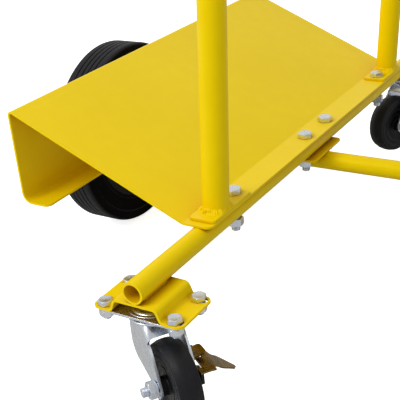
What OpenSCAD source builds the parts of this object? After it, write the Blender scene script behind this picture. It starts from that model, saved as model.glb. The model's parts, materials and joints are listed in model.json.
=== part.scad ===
// Sheet and board trolley on two large centre wheels and two swivel casters.
// Millimetres. +Z is up, X runs across the trolley, Y along its long tube.
// The origin is on the floor, below the crossing of the long tube and the cross tube.

/* [Frame tubes] */
// Outside diameter of the long tube and the cross tube
tube_od = 26.9; // [26:0.1:28]
// Wall of the frame tubes
tube_wall = 2.6; // [2:0.1:3]
// Reach of the long tube from the crossing to its near end
near_reach = 474; // [455:1:520]
// Reach of the long tube from the crossing to its far end
far_reach = 446; // [425:1:520]
// Thickness of the plate between the two tubes
cross_plate_t = 4; // [3:0.5:6]

/* [Deck] */
// Length of the folded deck along the long tube
deck_len = 670; // [640:1:700]
// Thickness of the deck sheet
sheet_t = 3; // [2:0.5:4]
// Distance from the long tube axis to the outer face of the deck flange
deck_reach = 279; // [250:1:290]
// Slope of the main panel, in degrees
panel_slope = 24.3; // [18:0.1:27]
// Height of the lip underside above the long tube axis
lip_level = -2; // [-4:0.5:4]
// Width of the lip folded inward under the deck
lip_w = 44; // [40:1:54]

/* [Uprights] */
// Outside diameter of the upright tube
post_od = 33.7; // [32:0.1:36]
// Distance of each upright from the crossing
post_y = 290; // [280:1:296]
// Height of the top rail axis above the foot plates
hoop_h = 900; // [700:10:1100]
// Lean of the uprights away from the deck, in degrees
post_lean = 3.9; // [0:0.1:6]

/* [Large wheels] */
// Radius of the large wheel
wheel_r = 150; // [135:1:155]
// Width of the large tyre
wheel_w = 57; // [50:1:58]
// Distance from the long tube axis to the middle plane of a large wheel
track_half = 354.5; // [350:0.5:370]

/* [Casters] */
// Radius of the caster wheel
caster_r = 51; // [47:0.5:52]
// Width of the caster tyre
caster_w = 29; // [24:0.5:31]
// Height from the caster axle to the top of its mounting plate
caster_drop = 77.5; // [76:0.5:84]
// Offset of the caster axle from its swivel axis
caster_trail = 47; // [42:0.5:50]
// Direction the near caster trails, in degrees from +X
near_swivel = -33.5; // [-180:0.5:180]
// Direction the far caster trails, in degrees from +X
far_swivel = -110; // [-180:0.5:180]

/* [Hidden] */
$fn = 64;
eps = 0.01;
fit = 0.05;
arc_step = 6;
steel_yellow = [0.92, 0.78, 0.06];
zinc = [0.78, 0.8, 0.82];
black = [0.07, 0.07, 0.08];
gray = [0.3, 0.3, 0.32];

// Levels
axle_z = wheel_r;
tube_r = tube_od / 2;
tube_ri = tube_r - tube_wall;
long_z = axle_z + tube_od + cross_plate_t;
strip_z = long_z + tube_r + sheet_t;

// Deck folds: inner radii, and where the panel leaves the flat strip
strip_edge = 18.25;
strip_bend_x = -21;
bend_ri = 4;
top_ri = 3;
lip_ri = 12;
deck_corner_r = 9;
bend_setback = bend_ri * tan(panel_slope / 2);
lip_z = long_z + lip_level;

// Fasteners: diameter, width across flats, head height, nut height
m12 = [12, 19, 7.5, 10.8];
m10 = [10, 16, 6.4, 8.4];
m8 = [8, 13, 5.3, 6.8];
hole_play = 1;
thread_end = 7;
mid_bolt_y = 35;
foot_t = 4;
foot_w = 36;
foot_in = 58;
foot_out = 35;
foot_bolt = 44;
cross_plate_x = 40;
cross_plate_y = 96;

// Uprights
post_r = post_od / 2;
post_wall = 2.6;
post_base = strip_z + foot_t;
hoop_bend_r = 90;
rail_h = 470;
weld_leg = 5;

// Lip saddle
saddle_x = -246;
saddle_l = 34;
saddle_w = 90;
saddle_t = 4;
saddle_bolt_y = 28;
saddle_leg = 24;

// Hat plates
hat_w = 121;
hat_l = 68;
hat_t = 3;
hat_rise = 15.4;
hat_top_half = 29;
hat_web_run = 5.6;
hat_bend = 5;
hat_corner = 9;
hat_bolt_x = 93.3 / 2;
hat_bolt_y = 49.8 / 2;
slot_in = 6;
slot_out = 11;
near_hat_y = -near_reach + hat_l / 2;
far_hat_y = far_reach - hat_l / 2;
hat_top_z = long_z - tube_r;
hat_flange_z = hat_top_z - hat_rise;
caster_z = hat_flange_z - hat_t;

// Large wheel
tread_rib = 0.9;
rib_count = 5;
tyre_shoulder = 6;
rim_r = 104;
rim_wall = 7;
rim_w = 50;
web_t = 9;
hub_r = 27;
hub_len = 60;
bearing_r = 17;
axle_r = 10;
washer_r = 18;
washer_t = 3;
side_gap = 0.3;
axle_nut_af = 30;
axle_nut_h = 14;
axle_root = 70;
tube_end_x = track_half - hub_len / 2 - side_gap - washer_t;
spoke_count = 6;
spoke_t = 6;

// Caster
plate_t = 3;
plate_l = 108;
plate_w = 66;
dome_r = 24;
dome_h = 4;
race_r = 29;
race_depth = 7;
ball_r = 3;
ball_circle = 23;
ball_count = 12;
kingpin_r = 6;
fork_t = 3;
fork_in = 20.5;
crown_r = 30;
crown_top = 8.5;
hood_x = 24;
hood_reach = 34;
hood_drop = 11.5;
leg_end_r = 13;
leg_front = -20;
leg_turn_z = -46;
leg_turn_r = 22;
leg_turn_end = 250;
core_r = 34;
roller_shoulder = 9;
roller_rib = 0.4;
core_hub_r = 11;
core_hub_len = 39;
core_web = 6;
axle_x = caster_trail;
fork_out = fork_in + fork_t;

// Brake pedal on the outer face of the fork, in the caster frame
pin_r = 2.5;
pin_y = fork_out + 6;
pin_z = -caster_drop + 19.5;
knuckle_r = 5;
pedal_t = 2.5;
ear_t = 2.5;
ear_r = 4;
ear_gap = 0.3;
knuckle_half = 9;
pin_half = knuckle_half + ear_gap + ear_t + 1;
neck_y = 6;
neck_half = 8;
pedal_x = axle_x - 15;
on_w = 30;
on_len = 46;
on_side_len = 29;
on_tip_x = 4;
on_tip_r = 5;
on_tilt = -26;
on_shift = 19;
off_w = 20;
off_out = 11;
off_in = 4;
off_z = 4.7;
off_tilt = 8;
off_shift = 8;
flank_y = 20.3;
arm_z = -2;
arm_from = 23;
arm_y = 10;
pad_x = 37;
pad_l = 10;
pad_t = 4;
pad_h = 13;
pad_back = pin_y - flank_y;

// Points of an arc round a centre, from one angle to another
function arc(centre, r, from, to) =
    let (steps = ceil(abs(to - from) / arc_step))
    [
        for (k = [0 : steps])
            let (a = from + (to - from) * k / steps)
            centre + [r * cos(a), r * sin(a)]
    ];

// ---------------------------------------------------------------- fasteners

module hex(af, h) {
    rotate([0, 0, 30]) cylinder(d = af / cos(30), h = h, $fn = 6);
}

// Hexagon with its upper corners turned off by a cone
module hex_chamfered(af, h) {
    intersection() {
        hex(af, h);
        cylinder(r1 = af * 0.5 + h * 1.73, r2 = af * 0.47, h = h);
    }
}

// Bolt with its bearing face at z = 0, head up and shank down
module bolt(size, length) {
    hex_chamfered(size[1], size[2]);
    translate([0, 0, -length + 1]) cylinder(d = size[0], h = length - 1 + eps);
    translate([0, 0, -length]) cylinder(d1 = size[0] - 2, d2 = size[0], h = 1 + eps);
}

// Nut with its bearing face at z = 0, body down
module nut(size) {
    difference() {
        mirror([0, 0, 1]) hex_chamfered(size[1], size[3]);
        translate([0, 0, -size[3] - 1]) cylinder(d = size[0] + 2 * fit, h = size[3] + 2);
    }
}

module drill(size, z, depth) {
    translate([0, 0, z - depth]) cylinder(d = size[0] + hole_play, h = depth);
}

module rounded_plate(length, width, t, r) {
    difference() {
        translate([-length / 2, -width / 2, 0]) cube([length, width, t]);
        for (sx = [-1, 1]) {
            for (sy = [-1, 1]) {
                translate([sx * length / 2, sy * width / 2, -1]) corner_cut(sx, sy, r, t + 2);
            }
        }
    }
}

// Material outside a rounded corner whose sharp corner is at the origin
module corner_cut(sx, sy, r, h) {
    difference() {
        translate([sx > 0 ? -r : -1, sy > 0 ? -r : -1, 0]) cube([r + 1, r + 1, h]);
        translate([-sx * r, -sy * r, -1]) cylinder(r = r, h = h + 2);
    }
}

// ---------------------------------------------------------------- deck

// Section of the folded sheet in X and Z, from the strip over the panel to the lip
module deck_section() {
    strip_centre = [strip_bend_x + bend_setback, strip_z + bend_ri];
    top_x = top_ri + sheet_t - deck_reach;
    panel_z = strip_z + (strip_bend_x - top_x) * tan(panel_slope);
    top_centre = [top_x, panel_z - (top_ri + sheet_t) / cos(panel_slope)];
    lip_centre = [lip_ri + sheet_t - deck_reach, lip_z + lip_ri + sheet_t];
    lip_edge = lip_w - deck_reach;
    polygon(concat(
        [[strip_edge, strip_z]],
        arc(strip_centre, bend_ri, 270, 270 - panel_slope),
        arc(top_centre, top_ri + sheet_t, 90 - panel_slope, 180),
        arc(lip_centre, lip_ri + sheet_t, 180, 270),
        [[lip_edge, lip_z], [lip_edge, lip_z + sheet_t]],
        arc(lip_centre, lip_ri, 270, 180),
        arc(top_centre, top_ri, 180, 90 - panel_slope),
        arc(strip_centre, bend_ri + sheet_t, 270 - panel_slope, 270),
        [[strip_edge, strip_z - sheet_t]]
    ));
}

module deck_plate() {
    color(steel_yellow) difference() {
        translate([0, deck_len / 2, 0]) rotate([90, 0, 0]) linear_extrude(deck_len) deck_section();
        for (sy = [-1, 1]) {
            for (y = [mid_bolt_y, post_y - foot_bolt]) {
                translate([0, sy * y, 0]) drill(m12, strip_z + 1, sheet_t + 2);
            }
            translate([saddle_x, sy * saddle_bolt_y, 0]) drill(m8, lip_z + sheet_t + 1, 5);
            translate([strip_edge, sy * deck_len / 2, strip_z - sheet_t - 1]) {
                corner_cut(1, sy, deck_corner_r, sheet_t + 2);
            }
            translate([-deck_reach + lip_w, sy * deck_len / 2, lip_z - 1]) {
                corner_cut(1, sy, deck_corner_r, sheet_t + 2);
            }
        }
    }
}

// ---------------------------------------------------------------- frame

module long_tube() {
    color(steel_yellow) difference() {
        translate([0, -near_reach, long_z]) rotate([-90, 0, 0]) {
            cylinder(r = tube_r, h = near_reach + far_reach);
        }
        translate([0, -near_reach - 1, long_z]) rotate([-90, 0, 0]) {
            cylinder(r = tube_ri, h = near_reach + far_reach + 2);
        }
        for (sy = [-1, 1]) {
            for (y = [mid_bolt_y, post_y - foot_bolt]) {
                translate([0, sy * y, 0]) drill(m12, strip_z, tube_od + 2 * sheet_t);
            }
        }
    }
}

module cross_tube() {
    color(steel_yellow) translate([-tube_end_x, 0, axle_z]) rotate([0, 90, 0]) difference() {
        cylinder(r = tube_r, h = 2 * tube_end_x);
        translate([0, 0, -1]) cylinder(r = tube_ri, h = 2 * tube_end_x + 2);
    }
}

module cross_plate() {
    color(steel_yellow) difference() {
        translate([0, 0, axle_z + tube_r]) {
            rounded_plate(cross_plate_x, cross_plate_y, cross_plate_t, 6);
        }
        for (sy = [-1, 1]) {
            translate([0, sy * mid_bolt_y, 0]) {
                drill(m12, axle_z + tube_r + cross_plate_t + 1, cross_plate_t + 2);
            }
        }
    }
}

// Channel on the cross tube that carries the folded lip of the deck
module lip_saddle() {
    color(steel_yellow) difference() {
        union() {
            translate([saddle_x, 0, lip_z - saddle_t]) {
                rounded_plate(saddle_l, saddle_w, saddle_t, 5);
            }
            for (sy = [-1, 1]) {
                translate([
                    saddle_x - saddle_l / 2 + 5,
                    sy * (tube_r + fit + saddle_t / 2) - saddle_t / 2,
                    lip_z - saddle_t - saddle_leg
                ]) {
                    cube([saddle_l - 10, saddle_t, saddle_leg + eps]);
                }
            }
        }
        for (sy = [-1, 1]) {
            translate([saddle_x, sy * saddle_bolt_y, 0]) drill(m8, lip_z + 1, saddle_t + 2);
        }
    }
}

// Pressed hat section, its crown at y = 0
module hat_section() {
    web_angle = atan(hat_rise / hat_web_run);
    inner_r = hat_bend;
    outer_r = hat_bend + hat_t;
    crown_centre = [hat_top_half - outer_r * tan(web_angle / 2), -outer_r];
    root_x = hat_top_half + hat_web_run + inner_r * tan(web_angle / 2);
    root_centre = [root_x, inner_r - hat_rise];
    half = concat(
        arc(crown_centre, outer_r, 90, 90 - web_angle),
        arc(root_centre, inner_r, 270 - web_angle, 270),
        [[hat_w / 2, -hat_rise], [hat_w / 2, -hat_rise - hat_t]],
        arc(root_centre, outer_r, 270, 270 - web_angle),
        arc(crown_centre, inner_r, 90 - web_angle, 90)
    );
    polygon(concat(half, [for (k = [len(half) - 1 : -1 : 0]) [-half[k][0], half[k][1]]]));
}

module hat_plate(y) {
    color(steel_yellow) difference() {
        translate([0, y + hat_l / 2, hat_top_z]) rotate([90, 0, 0]) {
            linear_extrude(hat_l) hat_section();
        }
        for (sx = [-1, 1]) {
            for (sy = [-1, 1]) {
                translate([sx * hat_w / 2, y + sy * hat_l / 2, caster_z - 1]) {
                    corner_cut(sx, sy, hat_corner, hat_t + 2);
                }
                translate([sx * hat_bolt_x, y + sy * hat_bolt_y, caster_z - 1]) hat_slot(sx);
            }
        }
    }
}

// Slot that runs past the bolt head on its outer side
module hat_slot(side) {
    slot_r = (m10[0] + hole_play) / 2;
    for (x = [-slot_in + slot_r, slot_out - slot_r]) {
        translate([side * x, 0, 0]) cylinder(r = slot_r, h = hat_t + 2);
    }
    translate([side > 0 ? slot_r - slot_in : slot_r - slot_out, -slot_r, 0]) {
        cube([slot_in + slot_out - 2 * slot_r, 2 * slot_r, hat_t + 2]);
    }
}

module near_hat() {
    hat_plate(near_hat_y);
}

module far_hat() {
    hat_plate(far_hat_y);
}

// ---------------------------------------------------------------- uprights

module foot_plate(side) {
    color(steel_yellow) difference() {
        translate([0, side * (post_y + (foot_out - foot_in) / 2), strip_z]) {
            rounded_plate(foot_w, foot_in + foot_out, foot_t, 5);
        }
        translate([0, side * (post_y - foot_bolt), 0]) drill(m12, post_base + 1, foot_t + 2);
    }
}

module near_foot() {
    foot_plate(-1);
}

module far_foot() {
    foot_plate(1);
}

module tube_run(length) {
    difference() {
        cylinder(r = post_r, h = length);
        translate([0, 0, -1]) cylinder(r = post_r - post_wall, h = length + 2);
    }
}

module lean() {
    translate([0, 0, post_base]) rotate([0, post_lean, 0]) children();
}

// Round tube bent to an inverted U and cut level on the foot plates
module push_hoop() {
    straight = hoop_h - hoop_bend_r;
    color(steel_yellow) difference() {
        lean() {
            for (sy = [-1, 1]) {
                translate([0, sy * post_y, -10]) tube_run(straight + 10);
                translate([0, sy * (post_y - hoop_bend_r), straight]) hoop_corner(sy);
            }
            translate([0, -post_y + hoop_bend_r, hoop_h]) rotate([-90, 0, 0]) {
                tube_run(2 * (post_y - hoop_bend_r));
            }
        }
        translate([-100, -post_y - 100, post_base - 50]) cube([200, 2 * post_y + 200, 50]);
    }
}

module hoop_corner(side) {
    rotate([90, 0, side * 90]) rotate_extrude(angle = 90) {
        translate([hoop_bend_r, 0]) difference() {
            circle(r = post_r);
            circle(r = post_r - post_wall);
        }
    }
}

// Straight rail between the uprights, coped to fit them
module hoop_rail() {
    color(steel_yellow) lean() difference() {
        translate([0, -post_y, rail_h]) rotate([-90, 0, 0]) difference() {
            cylinder(r = tube_r, h = 2 * post_y);
            translate([0, 0, -1]) cylinder(r = tube_ri, h = 2 * post_y + 2);
        }
        for (sy = [-1, 1]) {
            translate([0, sy * post_y, rail_h - 40]) cylinder(r = post_r + fit, h = 80);
        }
    }
}

// Fillet bead around the foot of an upright
module post_weld(side) {
    color(steel_yellow) difference() {
        lean() translate([0, side * post_y, -2]) {
            cylinder(r1 = post_r + weld_leg + 1, r2 = post_r + 0.5, h = weld_leg + 2);
        }
        lean() translate([0, side * post_y, -20]) cylinder(r = post_r + fit / 2, h = 60);
        translate([-60, side * post_y - 60, post_base - 60]) cube([120, 120, 60]);
        translate([foot_w / 2 - eps, side * post_y - 60, post_base - 1]) cube([40, 120, 60]);
        translate([-foot_w / 2 - 40 + eps, side * post_y - 60, post_base - 1]) {
            cube([40, 120, 60]);
        }
    }
}

module near_post_weld() {
    post_weld(-1);
}

module far_post_weld() {
    post_weld(1);
}

// ---------------------------------------------------------------- bolts of the frame

frame_grip = sheet_t + tube_od + foot_t;

module near_foot_bolt() {
    color(zinc) translate([0, -post_y + foot_bolt, post_base]) {
        bolt(m12, frame_grip + m12[3] + thread_end);
    }
}

module far_foot_bolt() {
    color(zinc) translate([0, post_y - foot_bolt, post_base]) {
        bolt(m12, frame_grip + m12[3] + thread_end);
    }
}

module near_foot_nut() {
    color(zinc) translate([0, -post_y + foot_bolt, long_z - tube_r]) nut(m12);
}

module far_foot_nut() {
    color(zinc) translate([0, post_y - foot_bolt, long_z - tube_r]) nut(m12);
}

module mid_bolts() {
    color(zinc) for (sy = [-1, 1]) {
        translate([0, sy * mid_bolt_y, strip_z]) {
            bolt(m12, sheet_t + tube_od + cross_plate_t + m12[3] + thread_end);
        }
    }
}

module mid_nuts() {
    color(zinc) for (sy = [-1, 1]) {
        translate([0, sy * mid_bolt_y, axle_z + tube_r]) nut(m12);
    }
}

module lip_bolts() {
    color(zinc) for (sy = [-1, 1]) {
        translate([saddle_x, sy * saddle_bolt_y, lip_z + sheet_t]) {
            bolt(m8, sheet_t + saddle_t + m8[3] + 3);
        }
    }
}

module lip_nuts() {
    color(zinc) for (sy = [-1, 1]) {
        translate([saddle_x, sy * saddle_bolt_y, lip_z - saddle_t]) nut(m8);
    }
}

module at_hat_bolts(y) {
    for (sx = [-1, 1]) {
        for (sy = [-1, 1]) {
            translate([sx * hat_bolt_x, y + sy * hat_bolt_y, 0]) children();
        }
    }
}

module hat_bolts(y) {
    color(zinc) at_hat_bolts(y) translate([0, 0, hat_flange_z]) {
        bolt(m10, hat_t + plate_t + m10[3] + 4);
    }
}

module hat_nuts(y) {
    color(zinc) at_hat_bolts(y) translate([0, 0, caster_z - plate_t]) nut(m10);
}

module near_hat_bolts() {
    hat_bolts(near_hat_y);
}

module near_hat_nuts() {
    hat_nuts(near_hat_y);
}

module far_hat_bolts() {
    hat_bolts(far_hat_y);
}

module far_hat_nuts() {
    hat_nuts(far_hat_y);
}

// ---------------------------------------------------------------- large wheels

// Frame of a large wheel: z runs outward along the axle from the wheel's middle plane
module at_wheel(side) {
    translate([side * track_half, 0, axle_z]) rotate([0, side * 90, 0]) children();
}

module wheel_axle(side) {
    inner = tube_end_x - track_half;
    outer = hub_len / 2 + side_gap + washer_t + axle_nut_h + 4;
    color(gray) at_wheel(side) {
        translate([0, 0, inner - axle_root]) cylinder(r = tube_ri - fit, h = axle_root);
        translate([0, 0, inner - eps]) cylinder(r = axle_r, h = outer - inner - 1 + 2 * eps);
        translate([0, 0, outer - 1]) cylinder(r1 = axle_r, r2 = axle_r - 1, h = 1);
    }
}

module axle_washers(side) {
    offset_z = hub_len / 2 + side_gap;
    color(zinc) at_wheel(side) for (z = [-offset_z - washer_t, offset_z]) {
        translate([0, 0, z]) difference() {
            cylinder(r = washer_r, h = washer_t);
            translate([0, 0, -1]) cylinder(r = axle_r + fit, h = washer_t + 2);
        }
    }
}

module axle_nut(side) {
    color(zinc) at_wheel(side) translate([0, 0, hub_len / 2 + side_gap + washer_t]) difference() {
        hex_chamfered(axle_nut_af, axle_nut_h);
        translate([0, 0, -1]) cylinder(r = axle_r + fit, h = axle_nut_h + 2);
    }
}

// Solid rubber tyre with rounded shoulders and fine ribs round the tread
module tyre_ring(r, ri, w, shoulder, ribs, rib_h) {
    pitch = (w - 2 * shoulder) / ribs;
    difference() {
        union() {
            translate([0, 0, -w / 2 + shoulder]) cylinder(r = r - rib_h, h = w - 2 * shoulder);
            translate([0, 0, -w / 2]) cylinder(r = r - rib_h - shoulder, h = w);
            for (s = [-1, 1]) {
                translate([0, 0, s * (w / 2 - shoulder)]) rotate_extrude() {
                    translate([r - rib_h - shoulder, 0]) circle(r = shoulder, $fn = 48);
                }
            }
            for (k = [0 : ribs - 1]) {
                translate([0, 0, (k - (ribs - 1) / 2) * pitch - pitch * 0.3]) {
                    cylinder(r = r, h = pitch * 0.6);
                }
            }
        }
        translate([0, 0, -w]) cylinder(r = ri, h = 2 * w);
    }
}

module wheel_tyre(side) {
    color(black) at_wheel(side) {
        tyre_ring(wheel_r, rim_r, wheel_w, tyre_shoulder, rib_count, tread_rib, $fn = 180);
    }
}

module wheel_rim(side) {
    color(black) at_wheel(side) difference() {
        union() {
            difference() {
                translate([0, 0, -rim_w / 2]) cylinder(r = rim_r - fit, h = rim_w, $fn = 120);
                translate([0, 0, -rim_w]) {
                    cylinder(r = rim_r - rim_wall, h = 2 * rim_w, $fn = 120);
                }
            }
            translate([0, 0, -web_t / 2]) cylinder(r = rim_r - rim_wall + 1, h = web_t, $fn = 120);
            translate([0, 0, -hub_len / 2]) cylinder(r = hub_r, h = hub_len);
            for (k = [0 : spoke_count - 1]) {
                rotate([0, 0, k * 360 / spoke_count]) {
                    translate([hub_r - 3, -spoke_t / 2, -rim_w / 2 + 4]) {
                        cube([rim_r - rim_wall - hub_r + 4, spoke_t, rim_w - 8]);
                    }
                }
            }
        }
        translate([0, 0, -hub_len]) cylinder(r = bearing_r + fit, h = 2 * hub_len);
    }
}

module wheel_bearing(side) {
    color(zinc) at_wheel(side) difference() {
        translate([0, 0, -hub_len / 2]) cylinder(r = bearing_r, h = hub_len);
        translate([0, 0, -hub_len]) cylinder(r = axle_r + fit, h = 2 * hub_len);
    }
}

module left_axle() {
    wheel_axle(-1);
}

module left_axle_washers() {
    axle_washers(-1);
}

module left_axle_nut() {
    axle_nut(-1);
}

module left_tyre() {
    wheel_tyre(-1);
}

module left_rim() {
    wheel_rim(-1);
}

module left_bearing() {
    wheel_bearing(-1);
}

module right_axle() {
    wheel_axle(1);
}

module right_axle_washers() {
    axle_washers(1);
}

module right_axle_nut() {
    axle_nut(1);
}

module right_tyre() {
    wheel_tyre(1);
}

module right_rim() {
    wheel_rim(1);
}

module right_bearing() {
    wheel_bearing(1);
}

// ---------------------------------------------------------------- casters

// Caster frame: origin on the swivel axis at the top of the plate, +X is the trailing side
module at_near_caster(turn) {
    translate([0, near_hat_y, caster_z]) rotate([0, 0, turn]) children();
}

module at_far_caster(turn) {
    translate([0, far_hat_y, caster_z]) rotate([0, 0, turn]) children();
}

// Pressed mounting plate with a domed middle and a bearing cup under it
module caster_plate() {
    color(zinc) difference() {
        union() {
            translate([0, 0, -plate_t]) rounded_plate(plate_l, plate_w, plate_t, 8);
            translate([0, 0, -eps]) cylinder(r1 = dome_r, r2 = dome_r - 3, h = dome_h);
            translate([0, 0, -race_depth]) cylinder(r = race_r, h = race_depth - plate_t + eps);
        }
        translate([0, 0, -race_depth - 1]) {
            cylinder(r = kingpin_r + fit, h = race_depth + dome_h + 2);
        }
        translate([0, 0, -race_depth]) rotate_extrude() {
            translate([ball_circle, 0]) circle(r = ball_r + fit, $fn = 32);
        }
        for (sx = [-1, 1]) {
            for (sy = [-1, 1]) {
                translate([sx * hat_bolt_x, sy * hat_bolt_y, 0]) drill(m10, 1, plate_t + 2);
            }
        }
    }
}

// Riveted pin that holds the fork crown to the plate
module caster_kingpin() {
    pin_low = crown_top + fork_t + 2;
    color(zinc) {
        translate([0, 0, -pin_low]) cylinder(r = kingpin_r, h = pin_low + dome_h + eps);
        translate([0, 0, dome_h]) cylinder(r1 = kingpin_r + 3, r2 = kingpin_r + 1, h = 3);
        translate([0, 0, -pin_low - 4]) cylinder(r = kingpin_r + 5, h = 4 + eps);
    }
}

module caster_balls() {
    color(zinc) for (k = [0 : ball_count - 1]) {
        rotate([0, 0, k * 360 / ball_count]) {
            translate([ball_circle, 0, -race_depth]) sphere(r = ball_r, $fn = 24);
        }
    }
}

// One cheek of the fork: wide under the crown, its front edge swept in to a round axle boss
module fork_cheek() {
    rotate([90, 0, 0]) linear_extrude(fork_t) {
        polygon(concat(
            [
                [leg_front, -crown_top],
                [hood_x, -crown_top],
                [hood_reach, -crown_top - hood_drop],
                boss_tangent([hood_reach, -crown_top - hood_drop]),
                [axle_x, -caster_drop],
                [axle_x - leg_end_r, -caster_drop]
            ],
            arc([leg_front + leg_turn_r, leg_turn_z], leg_turn_r, leg_turn_end, 180)
        ));
        translate([axle_x, -caster_drop]) circle(r = leg_end_r);
    }
}

// Point where a straight edge from a corner touches the trailing side of the axle boss
function boss_tangent(corner) =
    let (
        run = corner - [axle_x, -caster_drop],
        a = atan2(run[1], run[0]) - acos(leg_end_r / norm(run))
    )
    [axle_x + leg_end_r * cos(a), -caster_drop + leg_end_r * sin(a)];

// Crown with a round front and a hood that slopes down over the wheel behind it
module fork_crown() {
    translate([0, 0, -crown_top - fork_t]) cylinder(r = crown_r, h = fork_t);
    translate([0, fork_out, 0]) rotate([90, 0, 0]) linear_extrude(2 * fork_out) {
        polygon([
            [0, -crown_top],
            [hood_x, -crown_top],
            [hood_reach, -crown_top - hood_drop],
            [hood_reach, -crown_top - hood_drop - fork_t],
            [hood_x - 1, -crown_top - fork_t],
            [0, -crown_top - fork_t]
        ]);
    }
}

// Fork crown with its ball race, two cheeks and the axle holes
module caster_fork() {
    color(zinc) difference() {
        union() {
            fork_crown();
            for (sy = [-1, 1]) {
                translate([0, sy * (fork_in + fork_t / 2) + fork_t / 2, 0]) fork_cheek();
            }
        }
        translate([0, 0, -crown_top - fork_t - 1]) cylinder(r = kingpin_r + fit, h = fork_t + 2);
        translate([0, 0, -race_depth]) rotate_extrude() {
            translate([ball_circle, 0]) circle(r = ball_r + fit, $fn = 32);
        }
        translate([axle_x, 50, -caster_drop]) rotate([90, 0, 0]) {
            cylinder(d = m12[0] + 2 * fit, h = 100);
        }
    }
}

module caster_axle_bolt() {
    color(zinc) translate([axle_x, fork_out, -caster_drop]) rotate([-90, 0, 0]) {
        bolt(m12, 2 * fork_out + m12[3] + thread_end);
    }
}

module caster_axle_nut() {
    color(zinc) translate([axle_x, -fork_out, -caster_drop]) rotate([-90, 0, 0]) nut(m12);
}

module caster_tyre() {
    color(black) translate([axle_x, 0, -caster_drop]) rotate([90, 0, 0]) {
        tyre_ring(caster_r, core_r, caster_w, roller_shoulder, 1, roller_rib, $fn = 120);
    }
}

// Black plastic wheel centre with a barrel hub and a plain bore
module caster_core() {
    color(black) translate([axle_x, 0, -caster_drop]) rotate([90, 0, 0]) difference() {
        union() {
            difference() {
                translate([0, 0, -caster_w / 2 + 1]) {
                    cylinder(r = core_r - fit, h = caster_w - 2, $fn = 96);
                }
                translate([0, 0, -caster_w]) cylinder(r = core_r - 4, h = 2 * caster_w, $fn = 96);
            }
            translate([0, 0, -core_web / 2]) cylinder(r = core_r - 3.5, h = core_web, $fn = 96);
            translate([0, 0, -core_hub_len / 2]) cylinder(r = core_hub_r, h = core_hub_len);
        }
        translate([0, 0, -core_hub_len]) cylinder(d = m12[0] + 2 * fit, h = 2 * core_hub_len);
    }
}

module near_plate() {
    at_near_caster(0) caster_plate();
}

module near_kingpin() {
    at_near_caster(0) caster_kingpin();
}

module near_balls() {
    at_near_caster(0) caster_balls();
}

module near_fork() {
    at_near_caster(near_swivel) {
        caster_fork();
        color(zinc) pedal_ears();
    }
}

module near_axle_bolt() {
    at_near_caster(near_swivel) caster_axle_bolt();
}

module near_axle_nut() {
    at_near_caster(near_swivel) caster_axle_nut();
}

module near_tyre() {
    at_near_caster(near_swivel) caster_tyre();
}

module near_core() {
    at_near_caster(near_swivel) caster_core();
}

module far_plate() {
    at_far_caster(0) caster_plate();
}

module far_kingpin() {
    at_far_caster(0) caster_kingpin();
}

module far_balls() {
    at_far_caster(0) caster_balls();
}

module far_fork() {
    at_far_caster(far_swivel) caster_fork();
}

module far_axle_bolt() {
    at_far_caster(far_swivel) caster_axle_bolt();
}

module far_axle_nut() {
    at_far_caster(far_swivel) caster_axle_nut();
}

module far_tyre() {
    at_far_caster(far_swivel) caster_tyre();
}

module far_core() {
    at_far_caster(far_swivel) caster_core();
}

// ---------------------------------------------------------------- brake pedal

// Pedal frame: x along the pivot pin, y outward from the fork, z up
module at_pedal() {
    translate([pedal_x, pin_y, pin_z]) children();
}

// Two lugs on the fork cheek that carry the pedal pin
module pedal_ears() {
    reach = pin_y - fork_out;
    at_pedal() for (sx = [-1, 1]) {
        translate([sx * (knuckle_half + ear_gap + ear_t / 2) - ear_t / 2, 0, 0]) difference() {
            union() {
                translate([0, -reach - eps, -ear_r]) cube([ear_t, reach + eps, 2 * ear_r]);
                rotate([0, 90, 0]) cylinder(r = ear_r, h = ear_t);
            }
            translate([-1, 0, 0]) rotate([0, 90, 0]) cylinder(r = pin_r + fit, h = ear_t + 2);
        }
    }
}

module near_pedal_pin() {
    color(zinc) at_near_caster(near_swivel) at_pedal() rotate([0, 90, 0]) {
        translate([0, 0, -pin_half]) cylinder(r = pin_r, h = 2 * pin_half);
    }
}

// Sheet pedal: a long tab that sets the brake and a short one above it that frees it
module near_pedal() {
    color(zinc) at_near_caster(near_swivel) at_pedal() difference() {
        union() {
            translate([-knuckle_half, 0, 0]) rotate([0, 90, 0]) {
                cylinder(r = knuckle_r, h = 2 * knuckle_half);
            }
            rotate([on_tilt, 0, 0]) translate([0, 0, -pedal_t / 2]) linear_extrude(pedal_t) {
                translate([-neck_half, 0]) square([2 * neck_half, neck_y + 1]);
                translate([on_shift, 0]) on_outline();
            }
            rotate([off_tilt, 0, 0]) translate([off_shift - off_w / 2, -off_in, off_z]) {
                cube([off_w, off_in + off_out, pedal_t]);
            }
            translate([arm_from, -pad_back, arm_z]) {
                cube([pad_x + pad_l / 2 - arm_from, pad_back + arm_y, pedal_t]);
            }
        }
        translate([-pin_half - 1, 0, 0]) rotate([0, 90, 0]) {
            cylinder(r = pin_r + fit, h = 2 * pin_half + 2);
        }
    }
}

// Long tab: its front side stops short and runs at a slant to a rounded tip
module on_outline() {
    half = on_w / 2;
    polygon(concat(
        [[-half - neck_half, neck_y], [half, neck_y]],
        arc([on_tip_x, on_len - on_tip_r], on_tip_r, 20, 120),
        [[-half, on_side_len], [-half, neck_y + neck_half]]
    ));
}

// Rubber block under the pedal that bears on the flank of the caster wheel
module near_brake_pad() {
    color(black) at_near_caster(near_swivel) at_pedal() {
        translate([pad_x - pad_l / 2, -pad_back, arm_z - pad_h]) cube([pad_l, pad_t, pad_h]);
    }
}

// ---------------------------------------------------------------- nodes

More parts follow.
